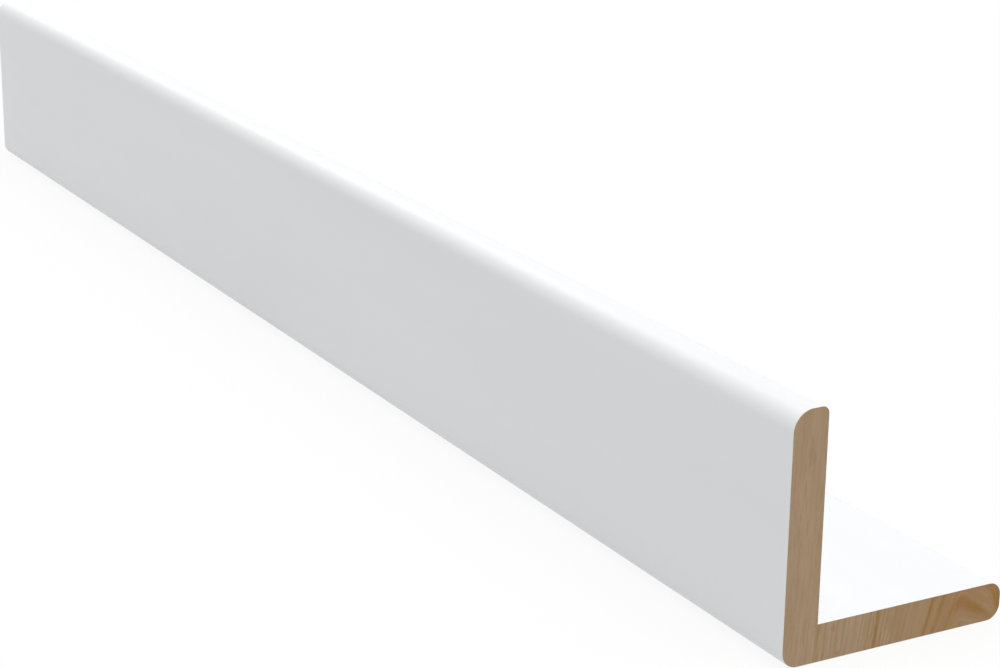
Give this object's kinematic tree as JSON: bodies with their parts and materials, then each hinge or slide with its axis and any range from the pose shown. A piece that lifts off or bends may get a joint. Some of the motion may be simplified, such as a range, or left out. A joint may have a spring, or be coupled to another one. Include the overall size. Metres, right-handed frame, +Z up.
{
  "type": "corner moulding",
  "caption": "Straight L-section wooden corner moulding with rounded edges, painted white with bare cut ends, for covering the outside corner of a wall.",
  "frame": {"origin": "middle of the underside: halfway along the length and across the flat leg, on the surface that it lies on", "axes": "+X along the length, +Y across the flat leg from the heel to its tip, +Z up the upright leg"},
  "size_m": [0.4, 0.0464, 0.046],
  "materials": {
    "painted_pine": "satin"
  },
  "bodies": {
    "root": {"corner_moulding": "painted_pine"}
  },
  "joints": []
}
